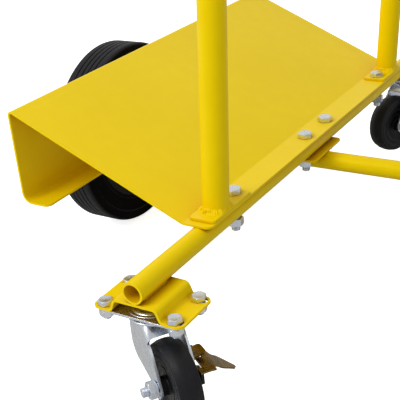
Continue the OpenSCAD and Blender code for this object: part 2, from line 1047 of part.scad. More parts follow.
deck_plate();
long_tube();
cross_tube();
cross_plate();
lip_saddle();
near_hat();
far_hat();
near_foot();
far_foot();
push_hoop();
hoop_rail();
near_post_weld();
far_post_weld();
near_foot_bolt();
near_foot_nut();
far_foot_bolt();
far_foot_nut();
mid_bolts();
mid_nuts();
lip_bolts();
lip_nuts();
near_hat_bolts();
near_hat_nuts();
far_hat_bolts();
far_hat_nuts();
left_axle();
left_axle_washers();
left_axle_nut();
left_tyre();
left_rim();
left_bearing();
right_axle();
right_axle_washers();
right_axle_nut();
right_tyre();
right_rim();
right_bearing();
near_plate();
near_kingpin();
near_balls();
near_fork();
near_axle_bolt();
near_axle_nut();
near_tyre();
near_core();
near_pedal_pin();
near_pedal();
near_brake_pad();
far_plate();
far_kingpin();
far_balls();
far_fork();
far_axle_bolt();
far_axle_nut();
far_tyre();
far_core();
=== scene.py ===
import json
import math

import bmesh
import bpy
from mathutils import Matrix, Vector


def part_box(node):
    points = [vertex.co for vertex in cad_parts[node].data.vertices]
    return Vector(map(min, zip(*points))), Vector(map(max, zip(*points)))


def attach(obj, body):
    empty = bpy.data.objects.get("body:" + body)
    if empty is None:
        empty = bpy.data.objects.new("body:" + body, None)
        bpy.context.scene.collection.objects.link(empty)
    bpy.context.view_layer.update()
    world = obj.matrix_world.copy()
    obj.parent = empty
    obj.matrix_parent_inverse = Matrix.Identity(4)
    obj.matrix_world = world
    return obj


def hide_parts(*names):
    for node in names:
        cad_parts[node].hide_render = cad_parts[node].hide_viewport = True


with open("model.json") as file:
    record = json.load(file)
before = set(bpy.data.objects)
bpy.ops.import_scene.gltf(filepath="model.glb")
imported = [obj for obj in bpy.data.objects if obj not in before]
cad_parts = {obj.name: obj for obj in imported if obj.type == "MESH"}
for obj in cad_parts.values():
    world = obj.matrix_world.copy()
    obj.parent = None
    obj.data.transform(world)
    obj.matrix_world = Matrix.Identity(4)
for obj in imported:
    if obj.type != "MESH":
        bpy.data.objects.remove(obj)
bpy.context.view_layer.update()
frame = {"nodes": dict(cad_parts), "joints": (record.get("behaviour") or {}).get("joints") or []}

MM = 0.001
JOINTS = {joint["name"]: joint for joint in frame["joints"]}
X, Y, Z = Vector((1, 0, 0)), Vector((0, 1, 0)), Vector((0, 0, 1))

# Fasteners in millimetres: thread diameter, width across flats, head and nut height, thread pitch
M12 = {"d": 12, "af": 19, "head": 7.5, "nut": 10.8, "pitch": 1.75}
M10 = {"d": 10, "af": 16, "head": 6.4, "nut": 8.4, "pitch": 1.5}
M8 = {"d": 8, "af": 13, "head": 5.3, "nut": 6.8, "pitch": 1.25}
# Chamfer on the corners of heads and nuts, the flat face inside it as a share of the width across
# flats, and how far the bearing face stands off
CHAMFER = math.tan(math.radians(28))
HEAD_FACE = 0.455
NUT_FACE = 0.46
WASHER_FACE = 0.4
HEX_STEPS = 72
ROD_STEPS = 36

# Edge of heads and nuts, radius of the uprights and pressed sheet of the casters, in millimetres
FASTENER_EDGE = 0.25
POST_R = 16.85
CASTER_SHEET = 3.0

# Floor: the shade it throws back at the object, and the extra light the camera sees on it
FLOOR_BOUNCE = (205, 205, 205)
FLOOR_GLOW = 0.8


# ---------------------------------------------------------------- reading the frame

def solids(node):
    """The lowest and highest corners, in millimetres, of each separate solid in a CAD node."""
    mesh = bmesh.new()
    mesh.from_mesh(frame["nodes"][node].data)
    bmesh.ops.remove_doubles(mesh, verts=mesh.verts, dist=1e-6)
    left = set(mesh.verts)
    found = []
    while left:
        stack = [left.pop()]
        group = list(stack)
        while stack:
            for edge in stack.pop().link_edges:
                for vert in edge.verts:
                    if vert in left:
                        left.remove(vert)
                        stack.append(vert)
                        group.append(vert)
        low = Vector([min(v.co[k] for v in group) for k in range(3)]) / MM
        high = Vector([max(v.co[k] for v in group) for k in range(3)]) / MM
        found.append((low, high))
    mesh.free()
    return sorted(found, key=lambda pair: tuple(round(c, 2) for c in pair[0]))


def span(node, origin, direction):
    """How far a CAD node reaches along a direction from an origin, in millimetres."""
    along = [(v.co / MM - origin).dot(direction) for v in frame["nodes"][node].data.vertices]
    return min(along), max(along)


def joint_origin(name):
    """A point on a joint's axis, in millimetres."""
    return Vector(JOINTS[name]["pos_m"]) / MM


def axes_to(origin, x_axis, z_axis):
    """A matrix that carries a form's own X and Z to these directions at this origin."""
    z_axis = z_axis.normalized()
    y_axis = z_axis.cross(x_axis).normalized()
    x_axis = y_axis.cross(z_axis)
    rows = [(x_axis[k], y_axis[k], z_axis[k], origin[k]) for k in range(3)]
    return Matrix(rows + [(0, 0, 0, 1)])


# ---------------------------------------------------------------- forms

class Form:
    """Points in millimetres with the faces between them, joined up before it becomes a piece."""

    def __init__(self):
        self.points = []
        self.faces = []

    def add(self, rings, wrap=False, caps=False, open_ring=False):
        """Quads between rings of equal length. wrap joins the last ring to the first."""
        start = len(self.points)
        size = len(rings[0])
        for ring in rings:
            self.points.extend(Vector(p) for p in ring)
        count = len(rings)
        for i in range(count if wrap else count - 1):
            a, b = start + i * size, start + (i + 1) % count * size
            for k in range(size - 1 if open_ring else size):
                m = (k + 1) % size
                self.faces.append((a + k, a + m, b + m, b + k))
        if caps:
            last = start + (count - 1) * size
            self.faces.append(tuple(start + k for k in reversed(range(size))))
            self.faces.append(tuple(last + k for k in range(size)))
        return self

    def join(self, other, matrix=Matrix.Identity(4)):
        start = len(self.points)
        self.points.extend(matrix @ p for p in other.points)
        self.faces.extend(tuple(start + k for k in face) for face in other.faces)
        return self


def circle(radius, z, steps):
    """A ring round Z. radius is a number or a function of the angle, and so is z."""
    ring = []
    for k in range(steps):
        a = 2 * math.pi * k / steps
        r = radius(a) if callable(radius) else radius
        h = z(a) if callable(z) else z
        ring.append((r * math.cos(a), r * math.sin(a), h))
    return ring


def lathe(profile, steps):
    """A closed profile of (radius, height) turned round Z."""
    return Form().add([circle(r, z, steps) for r, z in profile], wrap=True)


def fillet(centre_r, centre_z, radius, start, end, steps=6):
    """Profile points of an arc, with angles in degrees from the outward direction."""
    angles = [math.radians(start + (end - start) * k / steps) for k in range(steps + 1)]
    return [(centre_r + radius * math.cos(a), centre_z + radius * math.sin(a)) for a in angles]


def hex_radius(across_flats, angle):
    """Distance from the axis to the side of a hexagon with flats across X."""
    turn = math.pi / 3
    return across_flats / 2 / math.cos((angle + turn / 2) % turn - turn / 2)


def hex_corner(across_flats, face_r, face_z, slope, angle):
    """Height where the turned cone of a chamfer meets a hexagon's side."""
    return face_z - slope * (hex_radius(across_flats, angle) - face_r) * CHAMFER


def hex_head(size):
    """Bolt head on z = 0, its top corners turned off and its bearing face turned round."""
    af, height = size["af"], size["head"]
    face_r = af * HEAD_FACE
    dish_r, dish = face_r * 0.97, 0.05

    def side(angle):
        return hex_radius(af, angle)

    def top_corner(angle):
        return hex_corner(af, face_r, height, 1, angle)

    rings = [
        circle(face_r, 0, HEX_STEPS),
        circle(face_r, WASHER_FACE, HEX_STEPS),
        circle(side, WASHER_FACE, HEX_STEPS),
        circle(side, top_corner, HEX_STEPS),
        circle(face_r, height, HEX_STEPS),
        circle(dish_r, height - dish, HEX_STEPS),
    ]
    return Form().add(rings, caps=True)


def thread(size, top, bottom):
    """Threaded rod along Z with a turned end at the bottom."""
    radius, pitch = size["d"] / 2, size["pitch"]
    depth = pitch * 0.54
    end_slope, end_step = 1.1, 0.1
    per_pitch = 6
    count = int((top - bottom) / pitch * per_pitch)
    rings = []
    for k in range(count + 1):
        z = bottom + (top - bottom) * k / count
        limit = radius - depth + (z - bottom) * end_slope + end_step

        def groove(angle, z=z, limit=limit):
            phase = (z / pitch - angle / (2 * math.pi)) % 1
            return min(radius - depth * abs(2 * phase - 1), limit)

        rings.append(circle(groove, z, ROD_STEPS))
    return Form().add(rings, caps=True)


def bolt(size, length, threaded):
    """Hex bolt with its bearing face at z = 0, head up, and its last stretch threaded."""
    form = hex_head(size)
    radius, shank_end = size["d"] / 2, threaded - length
    into_head, into_shank = 0.5, 0.2
    form.add([circle(radius, z, ROD_STEPS) for z in (into_head, shank_end)], caps=True)
    return form.join(thread(size, shank_end + into_shank, -length))


def nut(size):
    """Hex nut with its bearing face at z = 0, body down, rims turned and bore countersunk."""
    af, height = size["af"], size["nut"]
    face_r = af * NUT_FACE
    bore_r, sink = size["d"] / 2, 0.8

    def side(angle):
        return hex_radius(af, angle)

    def top_corner(angle):
        return hex_corner(af, face_r, 0, 1, angle)

    def low_corner(angle):
        return hex_corner(af, face_r, -height, -1, angle)

    rings = [
        circle(bore_r, -sink, HEX_STEPS),
        circle(bore_r + sink, 0, HEX_STEPS),
        circle(face_r, 0, HEX_STEPS),
        circle(side, top_corner, HEX_STEPS),
        circle(side, low_corner, HEX_STEPS),
        circle(face_r, -height, HEX_STEPS),
        circle(bore_r + sink, -height, HEX_STEPS),
        circle(bore_r, -height + sink, HEX_STEPS),
    ]
    return Form().add(rings, wrap=True)


def sweep(path, radius_at):
    """A bead along a path of (point, sideways, up), its radius a function of distance along it."""
    steps = 14
    rings = []
    travelled = 0
    for i, (point, side, up) in enumerate(path):
        if i:
            travelled += (point - path[i - 1][0]).length
        r = radius_at(travelled)
        ring = []
        for k in range(steps):
            a = 2 * math.pi * k / steps
            ring.append(point + side * (r * math.cos(a)) + up * (r * math.sin(a)))
        rings.append(ring)
    return rings


def thickened(rows, thickness):
    """A closed sheet of this thickness round a grid of points."""
    last_row, last = len(rows) - 1, len(rows[0]) - 1
    rows = [[Vector(p) for p in row] for row in rows]
    rings = []
    for i, row in enumerate(rows):
        upper, lower = [], []
        for k, point in enumerate(row):
            along = rows[min(i + 1, last_row)][k] - rows[max(i - 1, 0)][k]
            aside = row[min(k + 1, last)] - row[max(k - 1, 0)]
            normal = aside.cross(along).normalized() * (thickness / 2)
            upper.append(point + normal)
            lower.append(point - normal)
        rings.append(upper + lower[::-1])
    return Form().add(rings, caps=True)


# ---------------------------------------------------------------- materials

def new_material(name):
    """A material with one shader, and the helper that adds nodes to it."""
    material = bpy.data.materials.new(name)
    material.use_nodes = True
    nodes = material.node_tree.nodes
    nodes.clear()
    output = nodes.new("ShaderNodeOutputMaterial")
    shader = nodes.new("ShaderNodeBsdfPrincipled")
    material.node_tree.links.new(shader.outputs["BSDF"], output.inputs["Surface"])
    return material, Nodes(material.node_tree), shader


class Nodes:
    """Short ways to add and join shader nodes."""

    def __init__(self, tree):
        self.tree = tree
        place = tree.nodes.new("ShaderNodeTexCoord")
        self.coordinates = place.outputs["Object"]
        self.normals = place.outputs["Normal"]
        self.generated = place.outputs["Generated"]

    def add(self, kind, **inputs):
        node = self.tree.nodes.new(kind)
        for key, value in inputs.items():
            self.set(node, key.replace("_", " "), value)
        return node

    def set(self, node, key, value):
        """Gives an input, by name or number, a value or a link."""
        if isinstance(value, bpy.types.NodeSocket):
            self.tree.links.new(value, node.inputs[key])
        else:
            node.inputs[key].default_value = value

    def noise(self, scale, detail=3.0, stretch=None):
        """Noise over the object's own space, in features per metre."""
        vector = self.coordinates
        if stretch:
            mapping = self.add("ShaderNodeMapping", Vector=vector, Scale=stretch)
            vector = mapping.outputs["Vector"]
        node = self.add("ShaderNodeTexNoise", Vector=vector, Scale=scale, Detail=detail)
        return node.outputs["Fac"]

    def ramp(self, value, low, high, out_low=0.0, out_high=1.0):
        """A value moved from one range to another and held at its ends."""
        node = self.tree.nodes.new("ShaderNodeMapRange")
        self.set(node, "Value", value)
        self.set(node, "From Min", low)
        self.set(node, "From Max", high)
        self.set(node, "To Min", out_low)
        self.set(node, "To Max", out_high)
        return node.outputs["Result"]

    def mix(self, factor, a, b):
        """A blend of two colours, whose sockets are numbers 6, 7 and 2 on Blender's mix node."""
        node = self.tree.nodes.new("ShaderNodeMix")
        node.data_type = "RGBA"
        self.set(node, 0, factor)
        self.set(node, 6, a)
        self.set(node, 7, b)
        return node.outputs[2]

    def math(self, operation, a, b):
        node = self.tree.nodes.new("ShaderNodeMath")
        node.operation = operation
        self.set(node, 0, a)
        self.set(node, 1, b)
        return node.outputs[0]

    def edge(self, radius):
        """About 1 along sharp edges and 0 on open faces."""
        bevel = self.add("ShaderNodeBevel", Radius=radius)
        bevel.samples = 4
        geometry = self.add("ShaderNodeNewGeometry")
        dot = self.tree.nodes.new("ShaderNodeVectorMath")
        dot.operation = "DOT_PRODUCT"
        self.set(dot, 0, bevel.outputs["Normal"])
        self.set(dot, 1, geometry.outputs["Normal"])
        return self.ramp(dot.outputs["Value"], 0.99, 0.8)

    def shade(self, reach, low, high):
        """0 in corners that little light gets into and 1 out in the open."""
        occlusion = self.add("ShaderNodeAmbientOcclusion", Distance=reach)
        occlusion.samples = 4
        return self.ramp(occlusion.outputs["AO"], low, high)

    def sideways(self):
        """1 on faces square to the object's own X."""
        split = self.add("ShaderNodeSeparateXYZ", Vector=self.normals)
        return self.math("ABSOLUTE", split.outputs["X"], 0.0)

    def bump(self, height, strength, distance, normal=None):
        """A normal bumped by a height, on top of another bump if one is given."""
        node = self.add("ShaderNodeBump", Height=height, Strength=strength, Distance=distance)
        if normal:
            self.set(node, "Normal", normal)
        return node.outputs["Normal"]


def rgb(red, green, blue):
    """An sRGB colour, 0 to 255, as the linear colour the shaders use."""
    channels = [c / 255 for c in (red, green, blue)]
    return [c / 12.92 if c <= 0.04045 else ((c + 0.055) / 1.055) ** 2.4 for c in channels] + [1]


def yellow_powder_coat():
    """Yellow paint with flecks and a fine orange peel, and painted shade: more orange in corners
    and creases.
    """
    material, n, shader = new_material("yellow_powder_coat")
    drift = n.ramp(n.noise(5, 2), 0.35, 0.65)
    cloud = n.ramp(n.noise(45, 4), 0.3, 0.7)
    base = n.mix(drift, rgb(240, 208, 1), rgb(244, 212, 6))
    base = n.mix(n.math("MULTIPLY", cloud, 0.3), base, rgb(236, 200, 0))
    # Painted shade: corners that little light reaches turn more orange
    base = n.mix(n.shade(0.05, 0.2, 0.85), rgb(226, 176, 0), base)
    fleck = n.ramp(n.noise(1400, 2), 0.68, 0.76)
    base = n.mix(n.math("MULTIPLY", fleck, 0.2), base, rgb(250, 230, 70))
    # Painted shade: narrow creases and joints between parts darken to brown
    base = n.mix(n.shade(0.012, 0.15, 0.75), rgb(176, 118, 0), base)
    # Lighter along sharp edges: partly paint worn thin there, partly a painted highlight
    edge = n.edge(0.0012)
    base = n.mix(n.math("MULTIPLY", edge, 0.15), base, rgb(250, 224, 50))
    n.set(shader, "Base Color", base)
    n.set(shader, "Roughness", n.ramp(n.noise(160, 3), 0.3, 0.7, 0.36, 0.46))
    n.set(shader, "Specular Tint", rgb(255, 226, 60))
    n.set(shader, "Specular IOR Level", 0.2)
    n.set(shader, "Coat Weight", 0.03)
    n.set(shader, "Coat Roughness", 0.2)
    peel = n.bump(n.noise(520, 2), 0.10, 0.0006)
    n.set(shader, "Normal", n.bump(n.noise(2600, 2), 0.07, 0.0002, peel))
    n.set(shader, "Coat Normal", peel)
    return material


def bright_zinc():
    """Bright plating with a faint bluish film and fine upright scratches."""
    material, n, shader = new_material("bright_zinc")
    patch = n.ramp(n.noise(120, 3), 0.35, 0.65)
    base = n.mix(patch, rgb(212, 219, 230), rgb(226, 229, 232))
    film = n.ramp(n.noise(260, 2), 0.45, 0.7)
    base = n.mix(n.math("MULTIPLY", film, 0.3), base, rgb(196, 209, 230))
    edge = n.edge(0.0006)
    base = n.mix(n.math("MULTIPLY", edge, 0.15), base, rgb(246, 248, 250))
    n.set(shader, "Base Color", base)
    n.set(shader, "Metallic", 1.0)
    n.set(shader, "Roughness", n.ramp(n.noise(220, 2), 0.3, 0.7, 0.22, 0.32))
    scratches = n.noise(400, 1, (1, 1, 0.12))
    n.set(shader, "Normal", n.bump(scratches, 0.02, 0.0001))
    return material


def yellow_zinc_with_painted_reflection():
    """Yellowish plated zinc, its brown partly a painted reflection of the frame, its pale edges a
    painted highlight.
    """
    material, n, shader = new_material("yellow_zinc_with_painted_reflection")
    patch = n.ramp(n.noise(70, 2), 0.35, 0.65)
    # Brown and yellow base colour: partly a yellowish plating film, partly a painted reflection of
    # the shaded yellow frame
    base = n.mix(patch, rgb(112, 94, 58), rgb(134, 106, 44))
    # Painted highlight: sharp edges turn pale grey
    edge = n.edge(0.0006)
    n.set(shader, "Base Color", n.mix(n.math("MULTIPLY", edge, 0.5), base, rgb(206, 200, 184)))
    n.set(shader, "Metallic", 1.0)
    n.set(shader, "Roughness", n.ramp(n.noise(150, 2), 0.3, 0.7, 0.22, 0.3))
    n.set(shader, "Normal", n.bump(n.noise(300, 1), 0.02, 0.0001))
    return material


def turned_steel():
    """Bare steel with turning marks round the object's own X."""
    material, n, shader = new_material("turned_steel")
    patch = n.ramp(n.noise(90, 3), 0.35, 0.65)
    n.set(shader, "Base Color", n.mix(patch, rgb(150, 152, 156), rgb(176, 176, 176)))
    n.set(shader, "Metallic", 1.0)
    n.set(shader, "Roughness", n.ramp(n.noise(500, 3), 0.3, 0.7, 0.28, 0.42))
    n.set(shader, "Normal", n.bump(n.noise(1500, 3, (6, 0.4, 0.4)), 0.12, 0.0002))
    return material


def black_rubber(name, shade, gloss, shine, matte_and_shaded_side=False):
    """Moulded black rubber or plastic. The side option dulls faces square to X and darkens them as
    painted shade.
    """
    material, n, shader = new_material(name)
    patch = n.ramp(n.noise(60, 4), 0.3, 0.7)
    base = n.mix(patch, rgb(*shade), rgb(*[c * 1.2 + 2 for c in shade]))
    dust = n.ramp(n.noise(900, 4), 0.58, 0.75)
    base = n.mix(n.math("MULTIPLY", dust, 0.2), base, rgb(*[c + 16 for c in shade]))
    edge = n.edge(0.001)
    base = n.mix(n.math("MULTIPLY", edge, 0.2), base, rgb(*[c + 26 for c in shade]))
    specular = shine
    if matte_and_shaded_side:
        side = n.ramp(n.sideways(), 0.6, 0.95)
        # Painted shade: faces square to X, the large tyre's walls, darken to near black
        base = n.mix(n.math("MULTIPLY", side, 0.7), base, rgb(3, 3, 3))
        specular = n.ramp(side, 0, 1, shine, shine * 0.15)
    n.set(shader, "Base Color", base)
    n.set(shader, "Roughness", n.ramp(n.noise(250, 4), 0.3, 0.7, gloss, gloss + 0.14))
    n.set(shader, "Specular IOR Level", specular)
    fine = n.bump(n.noise(1800, 3), 0.15, 0.0003)
    n.set(shader, "Normal", n.bump(n.noise(160, 2), 0.05, 0.001, fine))
    return material


def pale_floor():
    """A pale floor that looks evenly lit to the camera and gives back less light to the object."""
    material, n, shader = new_material("pale_floor")
    patch = n.ramp(n.noise(1.5, 3), 0.3, 0.7)
    seen = n.mix(patch, rgb(246, 246, 246), rgb(250, 250, 250))
    camera_ray = n.add("ShaderNodeLightPath").outputs["Is Camera Ray"]
    n.set(shader, "Base Color", n.mix(camera_ray, rgb(*FLOOR_BOUNCE), seen))
    n.set(shader, "Roughness", 0.9)
    n.set(shader, "Specular IOR Level", 0.0)
    n.set(shader, "Emission Color", rgb(255, 255, 255))
    n.set(shader, "Emission Strength", n.math("MULTIPLY", camera_ray, FLOOR_GLOW))
    return material


PAINT = yellow_powder_coat()
ZINC = bright_zinc()
PEDAL_ZINC = yellow_zinc_with_painted_reflection()
STEEL = turned_steel()
TYRE = black_rubber("tyre_rubber", (20, 20, 23), 0.5, 0.22, matte_and_shaded_side=True)
ROLLER = black_rubber("roller_rubber", (13, 14, 17), 0.42, 0.26)
PLASTIC = black_rubber("moulded_plastic", (8, 8, 9), 0.36, 0.22)


# ---------------------------------------------------------------- pieces

# Points this close, in millimetres, are one, faces this flat to each other are one, and edges
# sharper than this are left sharp in the shading
SAME_POINT = 0.004
SAME_FACE = math.radians(0.6)
SHARP = math.radians(35)


def soften(obj, width, segments=2, angle=30):
    """Rounds an object's sharp edges by a width in millimetres."""
    bevel = obj.modifiers.new("soft_edges", "BEVEL")
    bevel.width = width * MM
    bevel.segments = segments
    bevel.limit_method = "ANGLE"
    bevel.angle_limit = math.radians(angle)
    bevel.harden_normals = True


def piece(name, form, body, material, *nodes, edge=0.0, angle=30, tidy=False):
    """Makes a form into a piece that rides on a body and stands for these CAD nodes.

    Edges sharper than angle, in degrees, are rounded by edge, in millimetres. tidy merges the
    triangles of flat faces first.
    """
    mesh = bpy.data.meshes.new(name)
    mesh.from_pydata([p * MM for p in form.points], [], form.faces)
    cleaner = bmesh.new()
    cleaner.from_mesh(mesh)
    if tidy:
        verts, edges = cleaner.verts, cleaner.edges
        bmesh.ops.remove_doubles(cleaner, verts=verts, dist=SAME_POINT * MM)
        bmesh.ops.dissolve_limit(cleaner, angle_limit=SAME_FACE, verts=verts, edges=edges)
    bmesh.ops.recalc_face_normals(cleaner, faces=cleaner.faces)
    cleaner.to_mesh(mesh)
    cleaner.free()
    mesh.polygons.foreach_set("use_smooth", [True] * len(mesh.polygons))
    mesh.set_sharp_from_angle(angle=SHARP)
    mesh.materials.append(material)
    obj = bpy.data.objects.new(name, mesh)
    bpy.context.scene.collection.objects.link(obj)
    if edge:
        soften(obj, edge, angle=angle)
    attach(obj, body)
    if nodes:
        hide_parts(*nodes)
    return obj


def dress(material, edge, *nodes):
    """Gives CAD nodes their material and rounded edges."""
    for name in nodes:
        obj = frame["nodes"][name]
        obj.data.materials.clear()
        obj.data.materials.append(material)
        if edge:
            weld = obj.modifiers.new("joined_faces", "WELD")
            weld.merge_threshold = 0.005 * MM
            soften(obj, edge, angle=35)


def vertical_bolts(name, node, size, threaded):
    """Bolts with their heads up, each turned its own way, one for each solid of a CAD node."""
    form = Form()
    for k, (low, high) in enumerate(solids(node)):
        centre = (low + high) / 2
        bearing = high.z - size["head"]
        turn = Matrix.Rotation(math.radians(17 + 41 * k), 4, "Z")
        place = Matrix.Translation((centre.x, centre.y, bearing)) @ turn
        form.join(bolt(size, bearing - low.z, threaded), place)
    piece(name, form, "frame", ZINC, node, edge=FASTENER_EDGE)


def vertical_nuts(name, node, size):
    """Nuts with their bearing faces up, one for each solid of a CAD node."""
    form = Form()
    for k, (low, high) in enumerate(solids(node)):
        centre = (low + high) / 2
        turn = Matrix.Rotation(math.radians(8 + 23 * k), 4, "Z")
        form.join(nut(size), Matrix.Translation((centre.x, centre.y, high.z)) @ turn)
    piece(name, form, "frame", ZINC, node, edge=FASTENER_EDGE)


def refined(node, body, material, edge):
    """A CAD solid rebuilt with whole flat faces and rounded edges."""
    source = frame["nodes"][node].data
    form = Form()
    form.points = [v.co / MM for v in source.vertices]
    form.faces = [tuple(p.vertices) for p in source.polygons]
    piece(node + "_finished", form, body, material, node, edge=edge, tidy=True)


# ---------------------------------------------------------------- frame

# Painted CAD nodes and the width their edges are rounded by, in millimetres
PAINTED = {
    "deck_plate": 0.8, "cross_plate": 0.8, "lip_saddle": 0.8, "near_foot": 0.8, "far_foot": 0.8,
    "near_hat": 0.7, "far_hat": 0.7, "long_tube": 0.4, "cross_tube": 0.4,
}
for node, edge in PAINTED.items():
    refined(node, "frame", PAINT, edge)
dress(PAINT, 0, "push_hoop", "hoop_rail")
dress(STEEL, 0.4, "left_axle", "right_axle")
dress(ZINC, 0.3, "left_axle_washers", "right_axle_washers", "left_axle_nut", "right_axle_nut")
dress(ZINC, 0, "near_balls", "far_balls")
dress(STEEL, 0.3, "left_bearing", "right_bearing")
dress(ZINC, 0.3, "near_pedal_pin", "near_kingpin", "far_kingpin")


# Beads between a tube and a plate: radius, distance off the tube's line and off the plate
BEAD_R = 2.4
BEAD_SIDE = 6.0
BEAD_LIFT = 1.4


def rippled(size, ripple, pitch):
    """Radius of a weld bead, swelling once for every drop of metal laid down."""
    return lambda s: size + ripple * abs(math.sin(math.pi * s / pitch)) - ripple * 0.4


def post_weld(side):
    """Fillet of weld round an upright's foot, narrow where the plate ends beside the tube.

    Slow waves round the tube vary its width, height and drops, as a hand-laid weld does.
    """
    low, high = (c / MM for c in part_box(side + "_post_weld"))
    centre = Vector(((low.x + high.x) / 2, (low.y + high.y) / 2, low.z))
    plate_half = (high.x - low.x) / 2
    leg, edge_gap, drop_pitch, into_tube, into_plate = 6.2, 0.2, 2.6, 1.0, 0.3
    steps, face_steps = 240, 8
    rings = []
    for k in range(steps):
        a = 2 * math.pi * k / steps
        out = Vector((math.cos(a), math.sin(a), 0))
        room = plate_half / max(abs(math.cos(a)), 0.01) - POST_R - edge_gap
        width = min(leg + 0.5 * math.sin(5 * a + 1), room)
        height = 2.6 + 0.5 * width + 0.4 * math.sin(4 * a + 2)
        drop = 0.8 + 0.35 * math.sin(3 * a + 1) + 0.25 * math.sin(17 * a)
        ripple = drop * abs(math.sin(math.pi * POST_R * a / drop_pitch)) * min(1, width / 4)
        inside = centre + out * (POST_R - into_tube)
        ring = [inside - Z * into_plate, inside + Z * height]
        for m in range(face_steps + 1):
            t = m / face_steps
            swell = ripple * math.sin(math.pi * t) * (1 + 0.4 * math.sin(9 * a + 7 * t))
            r = POST_R - edge_gap + width * t + swell
            z = height * (1 - t) ** 1.2 + swell - into_plate * t
            ring.append(centre + out * r + Z * z)
        rings.append(ring)
    form = Form().add(rings, wrap=True)
    piece(side + "_post_weld_bead", form, "frame", PAINT, side + "_post_weld", edge=0)


def straight_bead(name, start, end, side, up, size):
    """A run of weld from start to end, tapering off at both ends."""
    step, ripple, pitch, tip = 0.6, 0.5, 3.2, 0.15
    run = end - start
    count = int(run.length / step)
    bead = rippled(size, ripple, pitch)

    def radius(s):
        fade = min(s, run.length - s) / (2 * size)
        return max(tip, bead(s) * math.sqrt(max(0.0, min(1.0, fade))))

    path = [(start + run * k / count, side, up) for k in range(count + 1)]
    piece(name, Form().add(sweep(path, radius), caps=True), "frame", PAINT, edge=0)


def tube_on_hat_beads(side):
    """Two beads that hold the long tube on a hat plate."""
    low, high = (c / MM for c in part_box(side + "_hat"))
    short, z = 9, high.z + BEAD_LIFT
    for x, label in ((-BEAD_SIDE, "left"), (BEAD_SIDE, "right")):
        start = Vector((x, low.y + short, z))
        end = Vector((x, high.y - short, z))
        straight_bead(f"{side}_tube_weld_{label}", start, end, X, Z, BEAD_R)


def cross_plate_beads():
    """Two beads that hold the cross tube under the plate between the tubes."""
    low, high = (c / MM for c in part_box("cross_plate"))
    short, z = 1, low.z - BEAD_LIFT
    for y, label in ((-BEAD_SIDE, "near"), (BEAD_SIDE, "far")):
        start = Vector((low.x + short, y, z))
        end = Vector((high.x - short, y, z))
        straight_bead(f"cross_tube_weld_{label}", start, end, Y, Z, BEAD_R)


post_weld("near")
post_weld("far")
tube_on_hat_beads("near")
tube_on_hat_beads("far")
cross_plate_beads()

BOLTS = {
    "near_foot_bolt": (M12, 22), "far_foot_bolt": (M12, 22), "mid_bolts": (M12, 22),
    "lip_bolts": (M8, 12), "near_hat_bolts": (M10, 14), "far_hat_bolts": (M10, 14),
}
NUTS = {
    "near_foot_nut": M12, "far_foot_nut": M12, "mid_nuts": M12,
    "lip_nuts": M8, "near_hat_nuts": M10, "far_hat_nuts": M10,
}
for node, (size, threaded) in BOLTS.items():
    vertical_bolts(node + "_threaded", node, size, threaded)
for node, size in NUTS.items():
    vertical_nuts(node + "_turned", node, size)


# ---------------------------------------------------------------- large wheels

def mirrored(half):
    """A profile from its outer half, which runs from the bore round to the tread's middle."""
    return half + [(r, -z) for r, z in reversed(half)]


def large_tyre(side):
    """Solid tyre with a raised bead at the rim, a flat wall and a grooved tread."""
    centre = joint_origin(side + "_wheel_spin")
    outer = span(side + "_tyre", centre, Z)[1]
    half = span(side + "_tyre", centre, X)[1]
    inner = span(side + "_rim", centre, Z)[1]
    shoulder = 6.5
    ribs, groove, depth, lip = 5, 1.7, 1.4, 0.3
    profile = [(inner, half - 3), (inner + 1.5, half - 1.2), (inner + 4, half - 0.6)]
    profile += [(inner + 7, half - 0.6), (inner + 8, half - 1.5), (outer - 17, half - 1.5)]
    profile += [(outer - 16, half - 0.4), (outer - 13, half)]
    profile += fillet(outer - shoulder, half - shoulder, shoulder, 90, 0, 8)
    tread = half - shoulder
    pitch = 2 * tread / ribs
    z = tread
    while z > 0.5 * pitch:
        z -= pitch
        profile += [
            (outer, z + groove / 2 + lip),
            (outer - lip, z + groove / 2),
            (outer - depth, z + groove / 4),
            (outer - depth, z - groove / 4),
            (outer - lip, z - groove / 2),
            (outer, z - groove / 2 - lip),
        ]
    profile = [point for point in profile if point[1] > 0]
    form = lathe(mirrored(profile), 200)
    turned = Form().join(form, axes_to(centre, Z, X))
    piece(side + "_tyre_moulded", turned, side + "_wheel", TYRE, side + "_tyre", edge=0)


for side in ("left", "right"):
    large_tyre(side)
    refined(side + "_rim", side + "_wheel", PLASTIC, 0.9)


# ---------------------------------------------------------------- casters

RACE_STEPS = 96


class Caster:
    """Axes and sizes of one caster. X trails, Z is up and the origin is the plate's top."""

    def __init__(self, name):
        self.name = name
        self.top = joint_origin(name + "_caster_swivel")
        self.centre = joint_origin(name + "_roller_spin")
        run = self.centre - self.top
        self.trail = Vector((run.x, run.y, 0)).normalized()
        self.across = Z.cross(self.trail)
        self.offset = run.dot(self.trail)
        self.drop = -run.z
        self.fork_out = -span(name + "_axle_nut", self.top, self.across)[1]
        self.place = axes_to(self.top, self.trail, Z)
        self.boss = self.centre.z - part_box(name + "_fork")[0].z / MM
        self.crown = span(name + "_fork", self.top, Z)[1]

    def piece(self, suffix, form, body, material, *nodes, **options):
        """A piece in the caster's own axes, with the caster's name before every other name."""
        placed = Form().join(form, self.place)
        own = self.name + "_"
        nodes = [own + node for node in nodes]
        return piece(own + suffix, placed, own + body, material, *nodes, **options)

    def axle_matrix(self, y):
        """Carries a form made along Z to the axle line, its own Z pointing across the caster."""
        return axes_to(Vector((self.offset, y, -self.drop)), X, Y)


